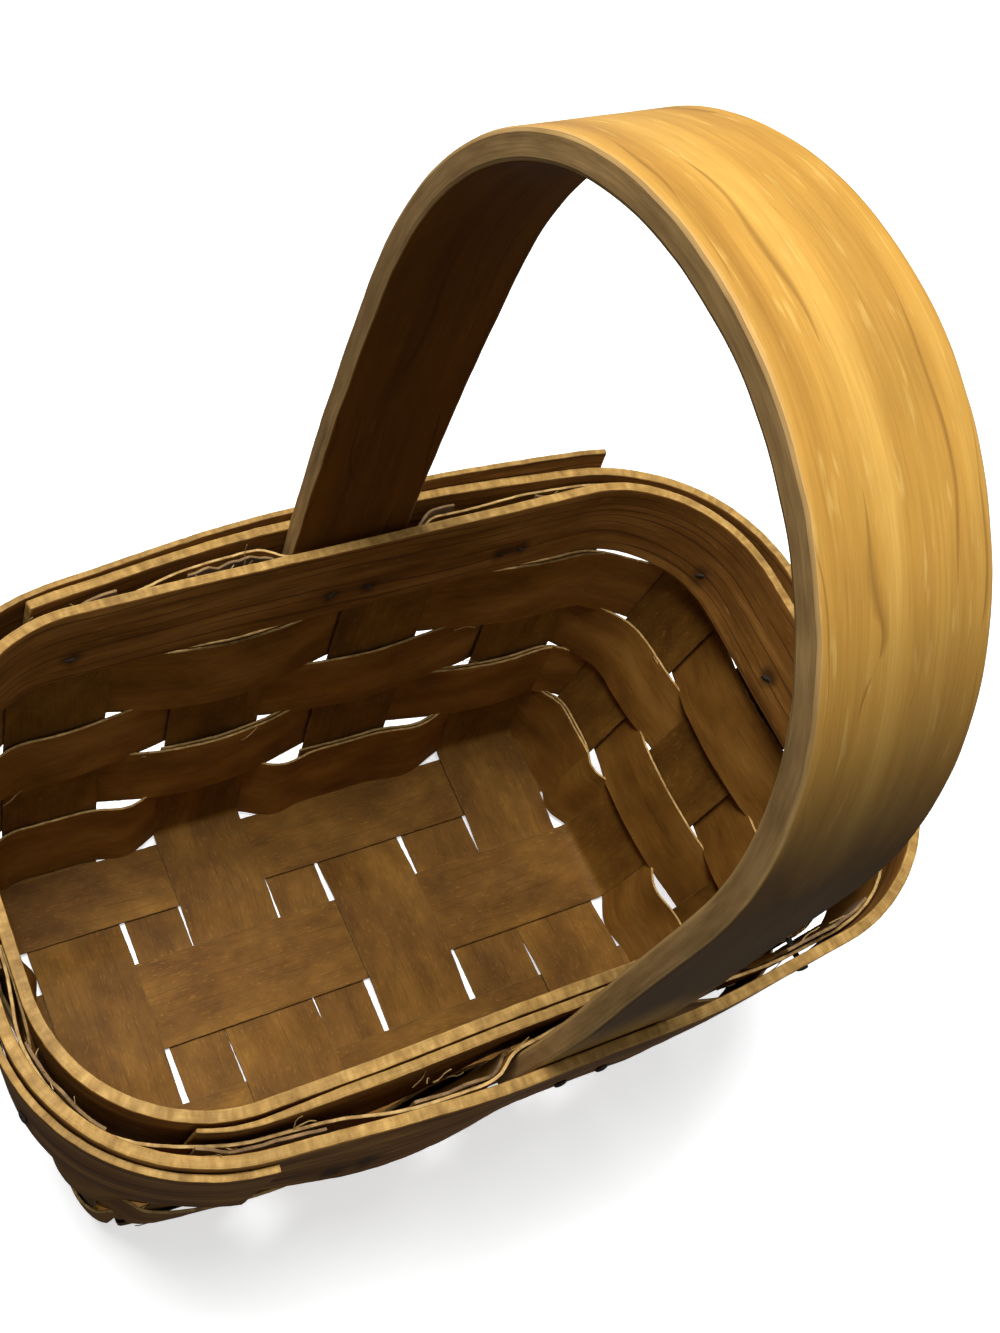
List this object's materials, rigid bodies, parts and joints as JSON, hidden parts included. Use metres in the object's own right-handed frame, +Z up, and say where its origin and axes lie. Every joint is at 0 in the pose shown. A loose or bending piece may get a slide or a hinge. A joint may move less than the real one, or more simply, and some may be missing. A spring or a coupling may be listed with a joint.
{
  "type": "splint basket",
  "caption": "Small rectangular woven splint basket with flared walls, rounded rim corners, nailed rim bands and a fixed bent-wood handle.",
  "frame": {"origin": "centre of the bounding box on the floor under the base", "axes": "+X along the long side, +Y across the basket from its front to its back, +Z up through the handle's crown"},
  "size_m": [0.2142, 0.1384, 0.2686],
  "materials": {
    "base_splint": "stained, low sheen",
    "weaver_splint": "stained, low sheen",
    "rim_wood": "stained, satin",
    "handle_wood": "varnished, satin",
    "nail_steel": "darkened"
  },
  "bodies": {
    "root": {"lengthwise_splint_back": "base_splint", "lengthwise_splint_middle": "base_splint", "lengthwise_splint_front": "base_splint", "cross_splint_1": "base_splint", "cross_splint_2": "base_splint", "cross_splint_3": "base_splint", "cross_splint_4": "base_splint", "filler_splint_1": "base_splint", "filler_splint_2": "base_splint", "filler_splint_3": "base_splint", "weaver_row_1": "weaver_splint", "weaver_row_2": "weaver_splint", "weaver_row_3": "weaver_splint", "weaver_row_4": "weaver_splint", "weaver_row_5": "weaver_splint", "inner_rim_band": "rim_wood", "inner_rim_lap": "rim_wood", "outer_rim_band": "rim_wood", "outer_rim_lap": "rim_wood", "bent_handle": "handle_wood", "rim_nail_back_1": "nail_steel", "rim_nail_back_2": "nail_steel", "rim_nail_back_3": "nail_steel", "rim_nail_front_1": "nail_steel", "rim_nail_front_2": "nail_steel", "rim_nail_front_3": "nail_steel", "rim_nail_left_1": "nail_steel", "rim_nail_left_2": "nail_steel", "rim_nail_right_1": "nail_steel", "rim_nail_right_2": "nail_steel", "handle_nail_back_1": "nail_steel", "handle_nail_back_2": "nail_steel", "handle_nail_front_1": "nail_steel", "handle_nail_front_2": "nail_steel"}
  },
  "joints": []
}
